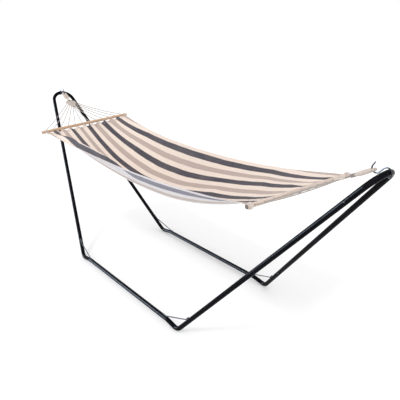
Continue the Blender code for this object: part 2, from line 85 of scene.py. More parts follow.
# ---- materials ----
class Tree:
    """A material's node tree, with the few kinds of node that the finishes here need."""

    def __init__(self, name, colour, roughness, metallic=0.0, **sockets):
        self.material = bpy.data.materials.new(name)
        self.material.use_nodes = True
        self.nodes = self.material.node_tree.nodes
        self.links = self.material.node_tree.links
        self.shader = self.nodes["Principled BSDF"]
        self.shader.inputs["Base Color"].default_value = (*colour, 1.0)
        self.shader.inputs["Roughness"].default_value = roughness
        self.shader.inputs["Metallic"].default_value = metallic
        for socket, value in sockets.items():
            self.shader.inputs[socket.replace("_", " ")].default_value = value

    def add(self, kind, **settings):
        node = self.nodes.new(kind)
        for setting, value in settings.items():
            setattr(node, setting, value)
        return node

    def feed(self, socket, value):
        if isinstance(value, bpy.types.NodeSocket):
            self.links.new(value, socket)
        else:
            socket.default_value = value

    def coords(self, kind="Object"):
        return self.add("ShaderNodeTexCoord").outputs[kind]

    def uv(self):
        """(across, along) of the UV map."""
        split = self.add("ShaderNodeSeparateXYZ")
        self.links.new(self.coords("UV"), split.inputs[0])
        return split.outputs[0], split.outputs[1]

    def join(self, x, y):
        made = self.add("ShaderNodeCombineXYZ")
        for socket, value in zip(made.inputs, (x, y)):
            self.feed(socket, value)
        return made.outputs[0]

    def scaled(self, vector, scale):
        mapped = self.add("ShaderNodeMapping")
        self.links.new(vector, mapped.inputs["Vector"])
        mapped.inputs["Scale"].default_value = scale
        return mapped.outputs[0]

    def math(self, operation, first, second=0.0):
        node = self.add("ShaderNodeMath", operation=operation)
        self.feed(node.inputs[0], first)
        self.feed(node.inputs[1], second)
        return node.outputs[0]

    def noise(self, vector, scale, detail=2.0, roughness=0.5):
        node = self.add("ShaderNodeTexNoise")
        self.feed(node.inputs["Vector"], vector)
        node.inputs["Scale"].default_value = scale
        node.inputs["Detail"].default_value = detail
        node.inputs["Roughness"].default_value = roughness
        return node.outputs["Fac"]

    def ramp(self, value, stops):
        """A grey that runs through the two (position, grey) stops."""
        node = self.add("ShaderNodeValToRGB")
        for element, (position, grey) in zip(node.color_ramp.elements, stops):
            element.position = position
            element.color = (grey, grey, grey, 1.0)
        self.feed(node.inputs[0], value)
        return node.outputs[0]

    def mix(self, factor, first, second):
        node = self.add("ShaderNodeMix", data_type="RGBA")
        self.feed(node.inputs[0], factor)
        for socket, value in ((node.inputs[6], first), (node.inputs[7], second)):
            self.feed(socket, (*value, 1.0) if isinstance(value, tuple) else value)
        return node.outputs[2]

    def colour(self, value):
        self.feed(self.shader.inputs["Base Color"], value)

    def rough(self, value):
        self.feed(self.shader.inputs["Roughness"], value)

    def bump(self, height, strength, distance, rounded=0.0):
        """Relief in the surface. rounded is the reach over which the flats of a round piece are blended."""
        node = self.add("ShaderNodeBump")
        node.inputs["Strength"].default_value = strength
        node.inputs["Distance"].default_value = distance
        self.links.new(height, node.inputs["Height"])
        self.links.new(node.outputs[0], self.shader.inputs["Normal"])
        if rounded:
            round_off = self.add("ShaderNodeBevel", samples=8)
            round_off.inputs["Radius"].default_value = rounded
            self.links.new(round_off.outputs[0], node.inputs["Normal"])
            self.links.new(round_off.outputs[0], self.shader.inputs["Coat Normal"])


def gloss_black():
    """Black powder coat: glossy, with a faint orange peel, dust in patches and fine rubbed marks."""
    tree = Tree("gloss_black", (0.002, 0.002, 0.003), 0.16, 0.0, Specular_IOR_Level=0.02, Coat_Weight=0.09)
    tree.shader.inputs["Coat Roughness"].default_value = 0.14
    place = tree.coords()
    dust = tree.noise(place, 9.0, 4.0, 0.6)
    marks = tree.noise(tree.scaled(place, (6.0, 60.0, 40.0)), 5.0, 3.0)
    dusty = tree.ramp(dust, [(0.45, 0.0), (0.8, 1.0)])
    tree.colour(tree.mix(dusty, (0.0008, 0.0009, 0.0020), (0.0040, 0.0040, 0.0075)))
    dulled = tree.math("ADD", dust, tree.math("MULTIPLY", marks, 0.4))
    tree.rough(tree.ramp(dulled, [(0.4, 0.13), (1.0, 0.26)]))
    tree.bump(tree.noise(place, 420.0, 1.0), 0.12, 0.0006, rounded=TUBE_ROUNDING)
    return tree.material


def painted_rod():
    """Dark grey paint on thin rod, thinner and brighter where it's rubbed."""
    tree = Tree("painted_rod", (0.08, 0.083, 0.095), 0.5, 0.2, Specular_IOR_Level=0.2)
    place = tree.coords()
    rub = tree.noise(place, 55.0, 4.0, 0.65)
    rubbed = tree.ramp(rub, [(0.45, 0.0), (0.7, 1.0)])
    tree.colour(tree.mix(rubbed, (0.045, 0.047, 0.056), (0.15, 0.155, 0.17)))
    tree.rough(tree.ramp(rub, [(0.3, 0.42), (0.8, 0.60)]))
    tree.bump(tree.noise(place, 380.0, 2.0), 0.2, 0.0005)
    return tree.material


def zinc_wire(name, dark, light):
    """Plated steel: a cool grey metal, cloudy and a little scratched."""
    tree = Tree(name, light, 0.3, 1.0)
    place = tree.coords()
    cloud = tree.noise(place, 120.0, 4.0, 0.7)
    scratch = tree.noise(tree.scaled(place, (40.0, 400.0, 400.0)), 3.0, 2.0)
    tree.colour(tree.mix(cloud, dark, light))
    worn = tree.math("MULTIPLY", cloud, tree.math("ADD", scratch, 0.5))
    tree.rough(tree.ramp(worn, [(0.2, 0.2), (0.8, 0.5)]))
    tree.bump(scratch, 0.15, 0.0004)
    return tree.material


def pale_wood(name, early, late, end_grain):
    """A turned softwood dowel: long grain lines and pores that run along Y, and duller end grain."""
    tree = Tree(name, early, 0.5, 0.0, Coat_Weight=0.12, Coat_Roughness=0.35)
    place = tree.coords()
    stretched = tree.scaled(place, (1.0, 0.045, 1.0))
    wander = tree.noise(stretched, 38.0, 3.0)
    wave = tree.add("ShaderNodeTexWave", wave_type="BANDS", bands_direction="Z", wave_profile="SAW")
    tree.links.new(tree.scaled(place, (1.0, 0.03, 1.0)), wave.inputs["Vector"])
    wave.inputs["Scale"].default_value = 95.0
    wave.inputs["Distortion"].default_value = 9.0
    wave.inputs["Detail"].default_value = 3.0
    wave.inputs["Detail Scale"].default_value = 1.6
    lines = tree.math("MULTIPLY", wave.outputs["Fac"], 0.55)
    grain = tree.math("ADD", lines, tree.math("MULTIPLY", wander, 0.6))
    tint = tree.mix(tree.ramp(grain, [(0.25, 0.0), (0.95, 1.0)]), early, late)
    fine = tree.noise(tree.scaled(place, (1.0, 0.06, 1.0)), 900.0, 2.0)
    pores = tree.ramp(fine, [(0.58, 0.0), (0.7, 1.0)])
    tint = tree.mix(tree.math("MULTIPLY", pores, 0.22), tint, end_grain)
    normal = tree.add("ShaderNodeSeparateXYZ")
    tree.links.new(tree.add("ShaderNodeNewGeometry").outputs["True Normal"], normal.inputs[0])
    at_end = tree.math("GREATER_THAN", tree.math("ABSOLUTE", normal.outputs[1]), 0.8)
    tint = tree.mix(tree.math("MULTIPLY", at_end, 0.92), tint, end_grain)
    tree.colour(tint)
    tree.rough(tree.ramp(grain, [(0.2, 0.42), (1.0, 0.62)]))
    relief = tree.math("SUBTRACT", grain, tree.math("MULTIPLY", pores, 0.5))
    tree.bump(relief, 0.25, 0.0005, rounded=DOWEL_ROUNDING)
    return tree.material


def twisted_cotton(name, light, dark, plies, pitch):
    """Laid cotton cord: plies that wind round it, with painted shade darkening the grooves between them, and
    short fuzz.
    With no plies it is bound square across by a thin cord, with the same painted shade between its turns. U
    is the share of a turn round it and V the length in metres."""
    tree = Tree(name, light, 0.92, 0.0, Sheen_Weight=0.35, Sheen_Roughness=0.5)
    around, length = tree.uv()
    turns = tree.math("ADD", tree.math("MULTIPLY", around, float(plies)), tree.math("DIVIDE", length, pitch))
    ply = tree.math("ABSOLUTE", tree.math("SINE", tree.math("MULTIPLY", turns, math.pi)))
    round_ply = tree.math("POWER", ply, 0.5)
    hair = tree.noise(tree.coords(), 1500.0, 2.0)
    shade = tree.noise(tree.coords(), 22.0, 3.0)
    # The dark colour between the plies is painted shade in the grooves.
    tint = tree.mix(tree.ramp(round_ply, [(0.15, 0.0), (0.75, 1.0)]), dark, light)
    tint = tree.mix(tree.math("MULTIPLY", tree.ramp(shade, [(0.4, 0.0), (0.75, 1.0)]), 0.25), tint, dark)
    tree.colour(tint)
    height = tree.math("ADD", round_ply, tree.math("MULTIPLY", hair, 0.25))
    tree.bump(height, 0.8, 0.0008)
    return tree.material


# The yarns' colours on the cloth's upper face and on its reverse. The reverse's are painted paler and bluer
# than the face's: painted light for the bright, cool look of the underside.
FACE = {
    "cream": (0.82, 0.69, 0.60),
    "charcoal": (0.031, 0.028, 0.045),
    "pin_ground": (0.57, 0.455, 0.395),
    "pin_line": (0.36, 0.28, 0.25),
}
REVERSE_PAINTED_LIGHT = {
    "cream": (0.70, 0.67, 0.68),
    "charcoal": (0.19, 0.19, 0.24),
    "pin_ground": (0.56, 0.47, 0.41),
    "pin_line": (0.45, 0.375, 0.34),
}
# The pattern, as shares of the cloth's width: charcoal stripes with a band of pinstripes midway between.
STRIPE_STEP = 0.197
STRIPE_HALF = 0.0265
STRIPE_BLUR = 0.0022
STRIPE_WANDER = 0.004
PIN_HALF = 0.0250
PIN_LINES = 6
SELVEDGE = 0.0015
# The cloth's sizes in metres. The length is from hem to hem, on the level.
CLOTH_LENGTH = 1.9505
CLOTH_WIDTH = 0.8
CLOTH_THICK = 0.0016
RIB_STEP = 0.005
WARP_STEP = 0.0016
HEM_WIDTH = 0.024
SEAM_INSET = 0.003
STITCH_STEP = 0.004
STITCH_HALF = 0.0007


def woven_cloth(name, cream, charcoal, pin_ground, pin_line):
    """Yarn-dyed cotton: stripes lengthwise with slightly wandering edges, a rep weave with cross ribs, slubs
    in the yarn and faded patches. U is the share of the cloth's width and V the length along it in metres."""
    tree = Tree(name, cream, 0.88, 0.0, Specular_IOR_Level=0.2, Sheen_Weight=0.08, Sheen_Roughness=0.6)
    across, along = tree.uv()
    spot = tree.join(tree.math("MULTIPLY", across, CLOTH_WIDTH), along)
    drift = tree.math("SUBTRACT", tree.noise(spot, 14.0, 2.0), 0.5)
    u = tree.math("ADD", across, tree.math("MULTIPLY", drift, STRIPE_WANDER))
    # How far the point is from the middle of its charcoal stripe, and from the middle of its pinstripe band.
    from_stripe = tree.math("PINGPONG", tree.math("SUBTRACT", u, 0.5), STRIPE_STEP / 2)
    from_band = tree.math("SUBTRACT", STRIPE_STEP / 2, from_stripe)

    def within(distance, half):
        """1 nearer than half and 0 further off, with a soft edge. The ramp runs over a tenth of the width."""
        stops = [((half - STRIPE_BLUR) * 10, 1.0), ((half + STRIPE_BLUR) * 10, 0.0)]
        return tree.ramp(tree.math("DIVIDE", distance, 0.1), stops)

    in_stripe = within(from_stripe, STRIPE_HALF)
    in_band = within(from_band, PIN_HALF)
    phase = tree.math("MULTIPLY", from_band, math.pi * PIN_LINES / PIN_HALF / 2)
    line = tree.ramp(tree.math("ABSOLUTE", tree.math("SINE", phase)), [(0.45, 0.0), (0.8, 1.0)])

    def yarn(across_scale, along_scale):
        """Noise that is drawn out along the direction with the smaller scale."""
        x = tree.math("MULTIPLY", across, across_scale)
        y = tree.math("MULTIPLY", along, along_scale)
        return tree.noise(tree.join(x, y), 1.0, 2.0)

    yarn_u = yarn(900.0, 6.0)
    yarn_v = yarn(5.0, 700.0)
    slub = tree.math("ADD", tree.math("MULTIPLY", yarn_u, 0.5), tree.math("MULTIPLY", yarn_v, 0.5))
    band = tree.mix(tree.math("MULTIPLY", line, 0.85), pin_ground, pin_line)
    tint = tree.mix(in_band, cream, band)
    tint = tree.mix(in_stripe, tint, charcoal)
    from_edge = tree.math("SUBTRACT", 0.5, tree.math("ABSOLUTE", tree.math("SUBTRACT", across, 0.5)))
    tint = tree.mix(tree.math("LESS_THAN", from_edge, SELVEDGE), tint, charcoal)
    light_yarn = tree.ramp(slub, [(0.42, 0.0), (0.66, 1.0)])
    tint = tree.mix(tree.math("MULTIPLY", light_yarn, 0.10), tint, (0.86, 0.80, 0.74))
    dark_yarn = tree.ramp(slub, [(0.32, 1.0), (0.5, 0.0)])
    tint = tree.mix(tree.math("MULTIPLY", dark_yarn, 0.14), tint, (0.18, 0.14, 0.12))
    patch = tree.ramp(tree.noise(tree.coords(), 5.0, 3.0), [(0.4, 0.0), (0.7, 1.0)])
    tint = tree.mix(tree.math("MULTIPLY", patch, 0.07), tint, (0.50, 0.42, 0.38))
    # Cross ribs, and the warp yarns that run lengthwise.
    rib = tree.math("ABSOLUTE", tree.math("SINE", tree.math("MULTIPLY", along, math.pi / RIB_STEP)))
    warp_turn = tree.math("MULTIPLY", across, math.pi * CLOTH_WIDTH / WARP_STEP)
    warp = tree.math("ABSOLUTE", tree.math("SINE", warp_turn))
    rib_shade = tree.ramp(rib, [(0.0, 1.0), (0.45, 0.0)])
    tint = tree.mix(tree.math("MULTIPLY", rib_shade, 0.12), tint, (0.16, 0.12, 0.11))
    # The folded hem at each end, thicker than the rest, with a row of stitches along its inner edge.
    from_hem = tree.math("MINIMUM", along, tree.math("SUBTRACT", CLOTH_LENGTH, along))
    folded = tree.math("LESS_THAN", from_hem, HEM_WIDTH)
    off_seam = tree.math("ABSOLUTE", tree.math("SUBTRACT", from_hem, HEM_WIDTH - SEAM_INSET))
    stitch_turn = tree.math("MULTIPLY", across, math.tau * CLOTH_WIDTH / STITCH_STEP)
    dash = tree.math("GREATER_THAN", tree.math("SINE", stitch_turn), -0.35)
    stitch = tree.math("MULTIPLY", tree.math("LESS_THAN", off_seam, STITCH_HALF), dash)
    tint = tree.mix(tree.math("MULTIPLY", folded, 0.12), tint, (0.30, 0.23, 0.20))
    tint = tree.mix(tree.math("MULTIPLY", stitch, 0.8), tint, (0.62, 0.54, 0.47))
    tree.colour(tint)
    weave = tree.math("ADD", tree.math("MULTIPLY", rib, 0.9), tree.math("MULTIPLY", warp, 0.4))
    seam = tree.math("ADD", tree.math("MULTIPLY", folded, 1.2), tree.math("MULTIPLY", stitch, 1.5))
    relief = tree.math("ADD", tree.math("ADD", weave, tree.math("MULTIPLY", slub, 0.5)), seam)
    tree.bump(relief, 0.55, 0.0008)
    return tree.material


def plain_thread(name, colour, dark):
    """Cotton sewing thread or twine with a fine twist."""
    tree = Tree(name, colour, 0.85, 0.0, Sheen_Weight=0.2)
    fibre = tree.noise(tree.coords(), 900.0, 3.0, 0.7)
    tree.colour(tree.mix(fibre, dark, colour))
    tree.bump(fibre, 0.5, 0.0005)
    return tree.material


# Along a cord, the distance from one ply to the next, and from one turn of the eye's binding to the next.
PLIES = 3
PLY_PITCH = 0.011
WHIPPING_PITCH = 0.0026

FINISH = {
    "black": gloss_black(),
    "rod": painted_rod(),
    "hook": zinc_wire("zinc_hook", (0.035, 0.035, 0.04), (0.10, 0.105, 0.115)),
    "spring": zinc_wire("dull_spring", (0.06, 0.06, 0.065), (0.15, 0.155, 0.17)),
    # The foot bar's wood is a paler copy of the head's, painted light, and its end grain is much darker,
    # painted shade.
    "wood_head": pale_wood("pale_wood_head", (0.62, 0.42, 0.28), (0.47, 0.29, 0.175), (0.30, 0.17, 0.10)),
    "wood_foot_painted_light_and_shade": pale_wood("pale_wood_foot", (0.70, 0.58, 0.50), (0.56, 0.43, 0.36), (0.07, 0.04, 0.028)),
    "rope": twisted_cotton("twisted_cotton", (0.74, 0.665, 0.60), (0.36, 0.29, 0.25), PLIES, PLY_PITCH),
    # The strands take a darker, greyer copy of the cord's colours: painted shade for the strands that hang in
    # shadow.
    "strand": twisted_cotton(
        "strand_cotton_painted_shade", (0.40, 0.345, 0.305), (0.19, 0.155, 0.135), PLIES, PLY_PITCH
    ),
    # The eye's binding is a darker copy of the cord's colours, deepest between its turns: painted shade.
    "whipped": twisted_cotton("whipped_eye", (0.64, 0.545, 0.475), (0.22, 0.18, 0.16), 0, WHIPPING_PITCH),
    "cloth": woven_cloth("striped_cloth", **FACE),
    # The reverse's finish is the cloth painted paler and bluer: painted light.
    "reverse": woven_cloth("striped_cloth_reverse_painted_light", **REVERSE_PAINTED_LIGHT),
    "thread": plain_thread("cream_thread", (0.82, 0.74, 0.66), (0.5, 0.42, 0.36)),
    # The taupe thread is a darker copy of the cream one: painted shade, for the foot's seizing in shadow.
    "painted_shade_thread": plain_thread("taupe_thread_painted_shade", (0.36, 0.29, 0.26), (0.18, 0.14, 0.13)),
}


# ---- small mesh tools ----
def as_object(name, mesh, finish, body, smooth_angle=50):
    """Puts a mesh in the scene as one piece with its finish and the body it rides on."""
    obj = bpy.data.objects.new(name, mesh)
    bpy.context.scene.collection.objects.link(obj)
    mesh.materials.append(FINISH[finish])
    mesh.shade_smooth()
    mesh.set_sharp_from_angle(angle=math.radians(smooth_angle))
    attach(obj, body)
    return obj


def smooth_path(points, per_span):
    """A Catmull-Rom curve through the points."""
    knots = [2 * points[0] - points[1], *points, 2 * points[-1] - points[-2]]
    path = []
    for a, b, c, d in zip(knots, knots[1:], knots[2:], knots[3:]):
        for step in range(per_span):
            t = step / per_span
            square = (2 * a - 5 * b + 4 * c - d) * t**2
            cube = (3 * b - a - 3 * c + d) * t**3
            path.append(0.5 * (2 * b + (c - a) * t + square + cube))
    return path + [points[-1]]


def sweep(bm, path, radius, sides):
    """Adds a tube along the path, with U round it and V along it in metres. radius is a number or a function
    of the share of the path."""
    uv = bm.loops.layers.uv.verify()
    count = len(path)
    tangents = []
    for index in range(count):
        before = path[max(index - 1, 0)]
        after = path[min(index + 1, count - 1)]
        tangents.append((after - before).normalized())
    side = tangents[0].cross(UP if abs(tangents[0].z) < 0.9 else ACROSS).normalized()
    rings = []
    travelled = 0.0
    for index, (point, tangent) in enumerate(zip(path, tangents)):
        if index:
            travelled += (point - path[index - 1]).length
        side = (side - tangent * side.dot(tangent)).normalized()
        other = tangent.cross(side)
        reach = radius(index / (count - 1)) if callable(radius) else radius
        ring = []
        for step in range(sides):
            angle = math.tau * step / sides
            spoke = side * math.cos(angle) * reach + other * math.sin(angle) * reach
            ring.append(bm.verts.new(point + spoke))
        rings.append((ring, travelled))
    for (first, v0), (second, v1) in zip(rings, rings[1:]):
        for step in range(sides):
            beside = (step + 1) % sides
            face = bm.faces.new((first[step], first[beside], second[beside], second[step]))
            shares = ((step, v0), (step + 1, v0), (step + 1, v1), (step, v1))
            for loop, (turn, v) in zip(face.loops, shares):
                loop[uv].uv = (turn / sides, v)
    for (ring, v), flip in ((rings[0], True), (rings[-1], False)):
        face = bm.faces.new(ring[::-1] if flip else ring)
        for loop in face.loops:
            loop[uv].uv = (0.5, v)


def rope_object(name, bm, finish):
    """Makes the tubes swept so far into one piece of rope, on the bed."""
    mesh = bpy.data.meshes.new(name)
    bmesh.ops.recalc_face_normals(bm, faces=bm.faces)
    bm.to_mesh(mesh)
    bm.free()
    return as_object(name, mesh, finish, "bed")


# ---- where the CAD's pieces are ----
def middle(node):
    low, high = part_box(node)
    return (low + high) / 2


BAR_X = {end: abs(middle("spreader_bar_" + end).x) for end in ENDS}
BAR_Z = {end: middle("spreader_bar_" + end).z for end in ENDS}
BAR_R = (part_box("spreader_bar_head")[1].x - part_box("spreader_bar_head")[0].x) / 2
BAR_SLOPE = {end: math.tan(math.radians(roll)) for end, roll in BAR_ROLL.items()}
BED_LOW, BED_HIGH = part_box("bed_fabric")


def turned(point, end):
    """A point worked out as if its end pointed along +X, put where it belongs."""
    return Vector((point.x * ENDS[end], point.y, point.z))


def on_circle(centre, radius, degrees):
    angle = math.radians(degrees)
    return centre + Vector((math.cos(angle), 0.0, math.sin(angle))) * radius


def eye_ring(end):
    """The eye's seat on the hook and the direction it pulls in, both as if its end pointed along +X."""
    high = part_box("hanger_tube_foot")[1]
    hanger_top = Vector((high.x - TUBE_R, 0.0, high.z - TUBE_R))
    upper = on_circle(hanger_top, HOOK_SLACK, 180 + HOOK_RISE)
    lower = on_circle(upper, HOOK_SPAN, 180 - HOOK_RISE)
    seat = on_circle(lower, HOOK_LOWER_R, EYE_ANGLE)
    return seat, (Vector((BAR_X[end], 0.0, BAR_Z[end])) - seat).normalized()


def bar_frame(end):
    """The bar's place and roll, as if its end pointed along +X."""
    roll = Matrix.Rotation(math.radians(BAR_ROLL[end]), 4, "X")
    return Matrix.Translation((BAR_X[end], 0.0, BAR_Z[end])) @ roll


def hole_positions():
    return [(index - (HOLES - 1) / 2) * HOLE_PITCH for index in range(HOLES)]


TILT = math.radians(HOLE_TILT)
HOLE_AXIS = Vector((math.cos(TILT), 0.0, math.sin(TILT)))


# ---- the bed ----
BED_REACH = {"head": abs(BED_LOW.x), "foot": BED_HIGH.x}
# The scallops: how far the hem reaches out at a hole and draws back between two holes. At a hole it is
# also lifted by the wave less the drop, and between two it hangs by both. They fade over the tuck's length.
HEM_PEAK = 0.010
HEM_VALLEY = -0.013
HEM_WAVE = 0.0078
HEM_DROP = 0.0035
TUCK_LENGTH = 0.28
# How the cloth lies: where eight lines of its pattern run, as shares of the width on show from the left
# edge, at places from the head (-1) to the foot (1). Each row is the place, how much of the pattern is
# rolled under at the left edge, and the eight lines. A last line past 1 is rolled under at the right edge.
PATTERN_LINES = (0.079, 0.133, 0.276, 0.330, 0.500, 0.697, 0.894, 1.000)
PATTERN_LIE = (
    (-1.0, 0.000, PATTERN_LINES),
    (-0.6, 0.055, (0.015, 0.048, 0.250, 0.310, 0.484, 0.734, 0.938, 1.044)),
    (-0.3, 0.055, (0.015, 0.048, 0.250, 0.310, 0.500, 0.734, 0.943, 1.050)),
    (0.0, 0.060, (0.020, 0.085, 0.280, 0.340, 0.540, 0.750, 0.945, 1.052)),
    (0.3, 0.062, (0.025, 0.105, 0.330, 0.400, 0.624, 0.790, 0.944, 1.050)),
    (0.6, 0.055, (0.030, 0.105, 0.320, 0.390, 0.600, 0.816, 0.945, 1.046)),
    (0.8, 0.030, (0.055, 0.115, 0.290, 0.350, 0.530, 0.790, 0.918, 1.016)),
    (1.0, 0.000, PATTERN_LINES),
)
# Along the left edge near the head the cloth's edge is rolled under and a pleat stands up beside it.
PLEAT_SPAN = ((-1.0, 0.0), (-0.92, 0.30), (-0.70, 0.85), (-0.40, 1.0), (-0.15, 0.60), (0.08, 0.0))
PLEAT_ARC = 0.062
PLEAT_WIDTH = 0.034
PLEAT_HEIGHT = 0.062
# Small creases in the cloth, flat at both hems.
RIPPLE = 0.00072
BED_ROWS = 240
BED_COLUMNS = 132
# Below 1 this draws the rows together towards both hems, where the scallops are.
ROW_CROWDING = 0.85


def pleat_share(along_bed):
    """The share of its full height that the pleat has at this place along the bed."""
    places, shares = zip(*PLEAT_SPAN)
    share = float(np.interp(along_bed, places, shares))
    return share * share * (3 - 2 * share)


def across_at(arc, half_width, trough):
    """How far across the bed a share of the way along the curved cloth lies: -1 at its left edge, 1 at its
    right edge."""
    places = np.linspace(-1, 1, 161)
    drop = trough * (1 - np.abs(places) ** BED_TROUGH_POWER)
    lengths = np.concatenate([[0], np.cumsum(np.hypot(np.diff(places * half_width), np.diff(drop)))])
    return float(np.interp(arc * lengths[-1], lengths, places))


def bed_surface(along_bed, arc, gathers=True):
    """A point of the cloth. along_bed runs from -1 at the head's hem to 1 at the foot's, and arc is the share
    of the cloth's width from its left edge. gathers adds the scallops at the hems."""
    share = (along_bed + 1) / 2
    bow = 1 - along_bed**2
    half_width = BED_END_HALF + (BED_MID_HALF - BED_END_HALF) * bow
    trough = BED_END_TROUGH + (BED_MID_TROUGH - BED_END_TROUGH) * bow
    t = across_at(arc, half_width, trough)
    y = t * half_width
    line = {end: BAR_Z[end] + y * BAR_SLOPE[end] for end in ENDS}
    edge_sag = BED_EDGE_SAG * (1 - abs(along_bed) ** BED_EDGE_POWER)
    edge = line["head"] * (1 - share) + line["foot"] * share - edge_sag
    z = edge - trough * (1 - abs(t) ** BED_TROUGH_POWER)
    x = -BED_REACH["head"] * (1 - share) + BED_REACH["foot"] * share
    if gathers:
        end = "foot" if along_bed > 0 else "head"
        from_end = (BED_REACH[end] - abs(x)) / TUCK_LENGTH
        if from_end < 1:
            fade = (1 - from_end) ** 2
            hole = y / HOLE_PITCH + (HOLES - 1) / 2
            away = abs(hole - round(hole)) * 2 if -0.5 < hole < HOLES - 0.5 else 1.0
            peak = math.cos(away * math.pi / 2) ** 1.3
            x += math.copysign((HEM_VALLEY + (HEM_PEAK - HEM_VALLEY) * peak) * fade**3, x)
            z += (HEM_WAVE * math.cos(away * math.pi) - HEM_DROP) * fade
    z += pleat_share(along_bed) * PLEAT_HEIGHT * math.exp(-(((arc - PLEAT_ARC) / PLEAT_WIDTH) ** 2))
    return Vector((x, y, z))


def pattern_lie(along_bed):
    """Where the lines of the pattern lie at this place along the bed: shares of the width, and the pattern
    there."""
    places = [row[0] for row in PATTERN_LIE]
    at_edge = float(np.interp(along_bed, places, [row[1] for row in PATTERN_LIE]))
    shares = [0.0]
    for line in range(len(PATTERN_LINES)):
        shares.append(float(np.interp(along_bed, places, [row[2][line] for row in PATTERN_LIE])))
    return shares, (at_edge, *PATTERN_LINES)


def make_bed():
    """The striped cloth, scalloped at its hems where the cords pull it to the bars."""
    bm = bmesh.new()
    uv = bm.loops.layers.uv.verify()
    grid = []
    length = BED_REACH["head"] + BED_REACH["foot"]
    for row in range(BED_ROWS + 1):
        even = row / BED_ROWS * 2 - 1
        along_bed = math.copysign(abs(even) ** ROW_CROWDING, even)
        line = []
        lie = pattern_lie(along_bed)
        for column in range(BED_COLUMNS + 1):
            arc = column / BED_COLUMNS
            place = bed_surface(along_bed, arc)
            place.z += RIPPLE * math.sin(column * 1.7 + 3 * math.sin(row * 0.11)) * (1 - along_bed**2)
            line.append((bm.verts.new(place), (float(np.interp(arc, *lie)), (along_bed + 1) / 2 * length)))
        grid.append(line)
    for low, high in zip(grid, grid[1:]):
        for corners in zip(low, low[1:], high[1:], high):
            face = bm.faces.new([corner[0] for corner in corners])
            for loop, corner in zip(face.loops, corners):
                loop[uv].uv = corner[1]
    mesh = bpy.data.meshes.new("striped_bed")
    bm.to_mesh(mesh)
    bm.free()
    # One face of the cloth takes the reverse's finish, whose paler, bluer colours are painted light.
    bed = as_object("striped_bed", mesh, "reverse", "bed", 180)
    bed.data.materials.append(FINISH["cloth"])
    thick = bed.modifiers.new("thickness", "SOLIDIFY")
    thick.thickness = CLOTH_THICK
    thick.offset = 0.0
    thick.material_offset = 1
    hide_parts("bed_fabric")
    return bed


# ---- ropes ----
STRAND_SAG = {"head": 0.009, "foot": 0.002}
LOOSE_SAG = 0.009
SAG_STEPS = 5
# The strands lie in two layers, this far over and under the clew's middle.
LAYER = 0.0022
# How the strands spread in the eye's neck: the distance from the clew's start, and half the spread there.
NECK_SPREAD = ((-0.004, 0.0055), (0.012, 0.0075))
# Where they enter the clew's woven part, how far inside its edge the outermost run, how far past its edge
# they come free, and how far they reach in front of the bar and behind it, straight along the hole.
CLEW_ENTRY = 0.029
CLEW_MARGIN = 0.004
LEAVE_PAST = 0.003
HOLE_FRONT = 0.004
HOLE_BEHIND = 0.003
# Half the clew's width, at distances from its start.
CLEW_OUTLINE = ((0.0, 0.008), (0.018, 0.009), (0.028, 0.038), (0.036, 0.040), (0.094, 0.010))
WEFT_ROWS = 17
WEFT_FIRST = 0.027
WEFT_LAST = 0.090
WEFT_R = 0.0023
WEFT_LIFT = 0.0026
WEFT_WAVE = 0.0034


def clew_strands(end):
    """The twelve strands of one end, from the eye's neck through the woven clew to the bar. The outermost
    leave the clew first and the middle ones at its tip."""
    seat, pull = eye_ring(end)
    over = pull.cross(ACROSS)
    spots = hole_positions()
    paths = []
    for index, y in enumerate(spots):
        share = y / spots[-1]
        layer = (index % 2 * 2 - 1) * LAYER
        off_middle = abs(share) * (CLEW_WIDE_HALF - CLEW_MARGIN)
        up_slant = max(0.0, off_middle - CLEW_TIP_HALF) / (CLEW_WIDE_HALF - CLEW_TIP_HALF)
        leave_at = CLEW_END + (CLEW_WIDEST - CLEW_END) * up_slant
        points = []
        for distance, spread in NECK_SPREAD:
            points.append(seat + pull * (CLEW_START + distance) + ACROSS * share * spread + over * layer)
        entry = math.copysign(off_middle, share)
        points.append(seat + pull * (CLEW_START + CLEW_ENTRY) + ACROSS * entry * 0.9 + over * layer * 0.6)
        leave = seat + pull * (leave_at + LEAVE_PAST) + ACROSS * entry
        points.append(leave)
        frame_here = bar_frame(end)
        mouth = frame_here @ (Vector((0.0, y, 0.0)) + HOLE_AXIS * (BAR_R + HOLE_FRONT))
        deep = frame_here @ (Vector((0.0, y, 0.0)) - HOLE_AXIS * (BAR_R + HOLE_BEHIND))
        for step in range(1, SAG_STEPS):
            part = step / SAG_STEPS
            most = LOOSE_SAG if index == 0 else STRAND_SAG[end] * (0.5 + 0.5 * abs(share))
            sag = most * 4 * part * (1 - part)
            points.append(leave.lerp(mouth, part) - UP * sag)
        points += [mouth, deep]
        paths.append([turned(point, end) for point in smooth_path(points, 4)])
    return paths


def make_ropes(end):
    """The strands, and the weft of the clew: one cord after another, over and under them, and shorter from
    the clew's widest place towards the bed."""
    bm = bmesh.new()
    for path in clew_strands(end):
        sweep(bm, path, STRAND_R, 8)
    ropes = rope_object("clew_strands_" + end, bm, "strand")
    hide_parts("suspension_ropes_" + end)
    bm = bmesh.new()
    seat, pull = eye_ring(end)
    over = pull.cross(ACROSS)
    distances, halves = zip(*CLEW_OUTLINE)
    for row in range(WEFT_ROWS):
        distance = WEFT_FIRST + (WEFT_LAST - WEFT_FIRST) * row / (WEFT_ROWS - 1)
        half = float(np.interp(distance, distances, halves))
        waves = max(2, round(half / WEFT_WAVE))
        middle_of_row = seat + pull * (CLEW_START + distance)
        points = []
        for step in range(waves * 4 + 1):
            across = (step / (waves * 2) - 1) * half
            lift = WEFT_LIFT * math.cos(step / 4 * math.pi + row * math.pi)
            points.append(turned(middle_of_row + ACROSS * across + over * lift, end))
        sweep(bm, points, WEFT_R, 6)
    rope_object("clew_weft_" + end, bm, "rope")


EYE_LOOP_R = 0.0100
